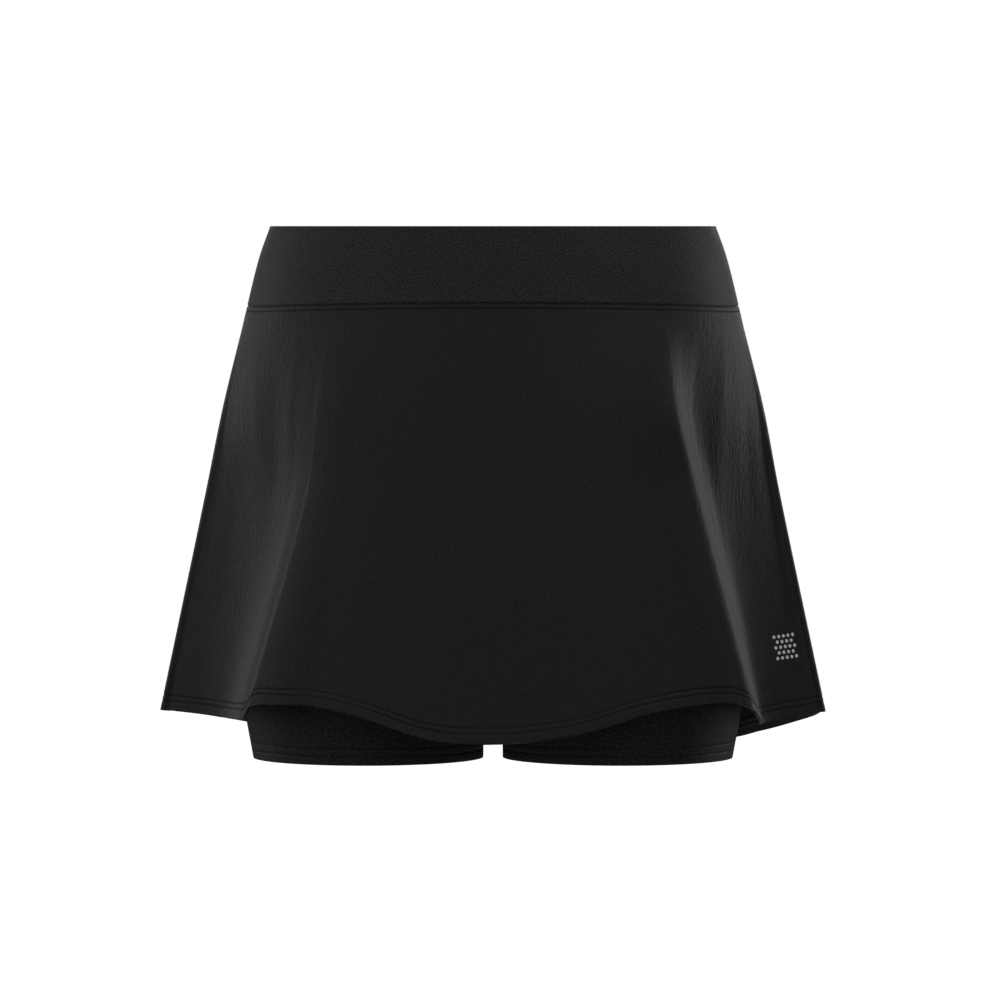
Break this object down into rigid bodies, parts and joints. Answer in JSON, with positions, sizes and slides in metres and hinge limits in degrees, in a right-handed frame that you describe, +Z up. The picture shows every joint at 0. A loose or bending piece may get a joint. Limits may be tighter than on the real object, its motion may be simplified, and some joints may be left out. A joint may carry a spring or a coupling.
{
  "type": "tennis skort",
  "caption": "Flared knit skirt with two deep side-front folds and a dipped hem, over fitted shorts, on a wide plain waistband; worn form, open at waist, hem and legs.",
  "frame": {"origin": "middle of the waist opening, level with the top rim of the waistband", "axes": "+Z up, out of the waist opening; -Y toward the front; +X toward the side seam on the right, seen from the front"},
  "size_m": [0.429, 0.3187, 0.3542],
  "materials": {
    "rib_knit": "fine black rib, matte",
    "skirt_knit": "smooth black performance jersey, soft sheen at a low angle",
    "shorts_knit": "black stretch jersey, matte"
  },
  "bodies": {
    "root": {"waistband_front": "rib_knit", "waistband_back": "rib_knit", "skirt_front": "skirt_knit", "skirt_back": "skirt_knit", "shorts_front_left": "shorts_knit", "shorts_front_right": "shorts_knit", "shorts_back_left": "shorts_knit", "shorts_back_right": "shorts_knit"}
  },
  "joints": []
}
